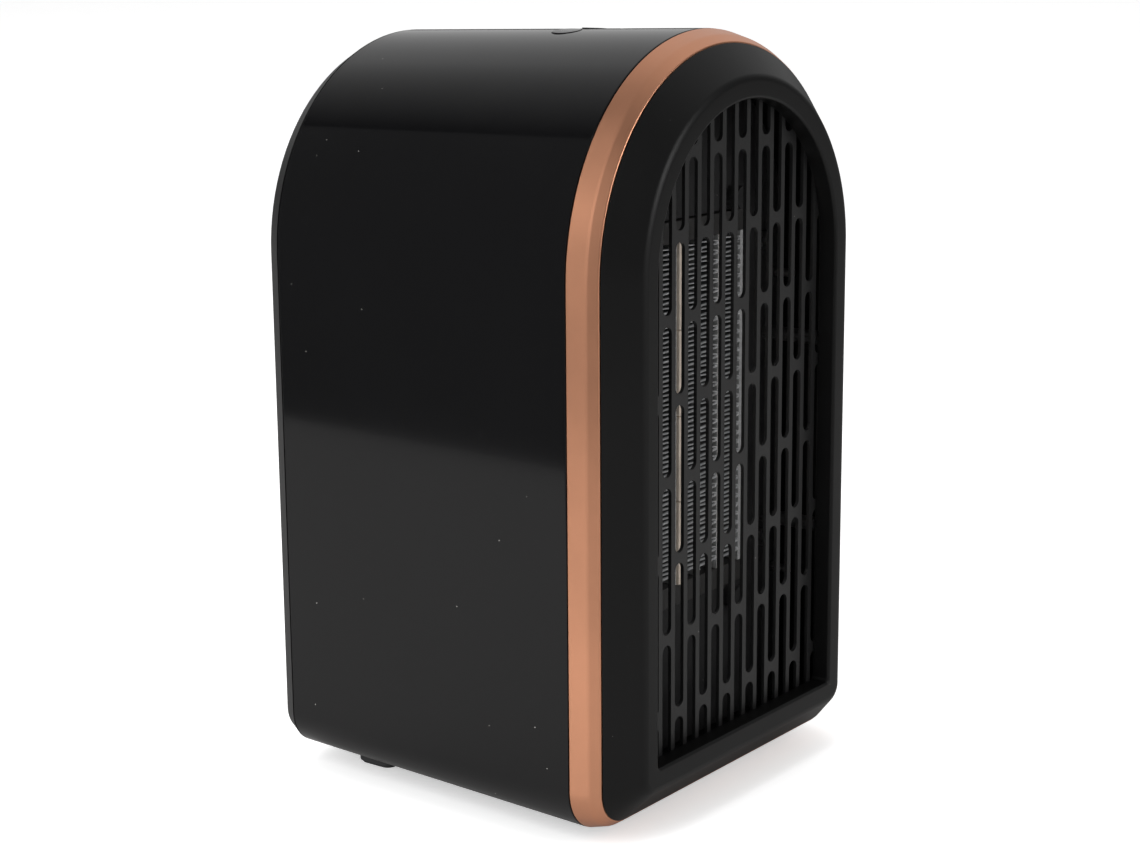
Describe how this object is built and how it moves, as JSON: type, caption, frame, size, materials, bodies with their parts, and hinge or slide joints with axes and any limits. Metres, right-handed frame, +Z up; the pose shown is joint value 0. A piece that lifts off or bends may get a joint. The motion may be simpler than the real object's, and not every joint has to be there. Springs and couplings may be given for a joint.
{
  "type": "ceramic space heater",
  "caption": "Arch-shaped desktop heater: gloss sleeve on four feet, metallic trim ring, sloped bezel, slotted grille over a finned ceramic element, axial fan and push buttons on top.",
  "frame": {"origin": "middle of the footprint's bounding box, on the surface the feet stand on", "axes": "+Z up; -Y out of the front grille; +Y out of the rear cover; +X to the right of someone standing behind it, left of someone facing the grille is -X"},
  "size_m": [0.145, 0.145, 0.25],
  "materials": {
    "bezel_satin_black": "satin black",
    "board_laminate": "green solder mask",
    "bush_brass": "oiled bronze",
    "button_black": "polished black",
    "cap_heat_plastic": "matte dark",
    "capacitor_plastic": "yellow case",
    "cover_satin_black": "satin black",
    "cutout_body": "black phenolic",
    "duct_sheet": "dull grey sheet",
    "electrode_aluminium": "plain",
    "fan_plastic": "matte dark grey",
    "fin_aluminium": "plain foil",
    "foot_rubber": "matte",
    "frame_heat_plastic": "matte dark grey",
    "gland_rubber": "matte",
    "grille_dark": "satin dark grey",
    "heater_ceramic": "cream ceramic",
    "lamp_plastic": "diffuse",
    "lens_clear": "clear acrylic",
    "magnet_iron": "ferrite",
    "motor_zinc": "zinc plated can",
    "plunger_plastic": "natural nylon",
    "rail_aluminium": "extruded",
    "relay_plastic": "blue case",
    "rotor_iron": "laminated iron",
    "screw_steel": "zinc plated",
    "shaft_steel": "ground",
    "shell_gloss_black": "polished black",
    "switch_plastic": "matte black",
    "trim_rose_gold": "satin rose gold"
  },
  "bodies": {
    "housing": {"air_duct": "duct_sheet", "board_screws": "screw_steel", "capacitor": "capacitor_plastic", "ceramic_bar_left": "heater_ceramic", "ceramic_bar_middle": "heater_ceramic", "ceramic_bar_right": "heater_ceramic", "control_board": "board_laminate", "cord_gland": "gland_rubber", "divider_left": "rail_aluminium", "divider_right": "rail_aluminium", "electrodes_left": "electrode_aluminium", "electrodes_middle": "electrode_aluminium", "electrodes_right": "electrode_aluminium", "element_cap_high": "cap_heat_plastic", "element_cap_low": "cap_heat_plastic", "element_screws": "screw_steel", "fan_shroud": "frame_heat_plastic", "fin_bank_left_a": "fin_aluminium", "fin_bank_left_b": "fin_aluminium", "fin_bank_middle_a": "fin_aluminium", "fin_bank_middle_b": "fin_aluminium", "fin_bank_right_a": "fin_aluminium", "fin_bank_right_b": "fin_aluminium", "foot_front_left": "foot_rubber", "foot_front_right": "foot_rubber", "foot_rear_left": "foot_rubber", "foot_rear_right": "foot_rubber", "frame_screws": "screw_steel", "front_bezel": "bezel_satin_black", "front_grille": "grille_dark", "heater_frame": "frame_heat_plastic", "indicator_lamp": "lamp_plastic", "indicator_lens": "lens_clear", "main_shell": "shell_gloss_black", "mode_key_switch": "switch_plastic", "motor_bushes": "bush_brass", "motor_can": "motor_zinc", "motor_magnet": "magnet_iron", "motor_screws": "screw_steel", "power_key_switch": "switch_plastic", "rear_cover": "cover_satin_black", "rear_cover_screws": "screw_steel", "relay": "relay_plastic", "side_rail_left": "rail_aluminium", "side_rail_right": "rail_aluminium", "thermal_cutout": "cutout_body", "tilt_switch": "switch_plastic", "trim_ring": "trim_rose_gold"},
    "fan": {"fan_impeller": "fan_plastic", "motor_shaft": "shaft_steel", "motor_rotor": "rotor_iron"},
    "power_key": {"power_button": "button_black", "power_plunger": "plunger_plastic"},
    "mode_key": {"mode_button": "button_black", "mode_plunger": "plunger_plastic"}
  },
  "joints": [
    {"name": "fan_spin", "type": "hinge", "parent": "housing", "child": "fan", "pos_m": [0, 0, 0.125], "axis": [0, 1, 0], "continuous": true},
    {"name": "power_button_press", "type": "slide", "parent": "housing", "child": "power_key", "axis": [0, 0, -1], "range_m": [0, 0.0008], "stiffness_N_per_m": 1500, "springref_m": -0.0004},
    {"name": "mode_button_press", "type": "slide", "parent": "housing", "child": "mode_key", "axis": [0, 0, -1], "range_m": [0, 0.0008], "stiffness_N_per_m": 1500, "springref_m": -0.0004}
  ]
}
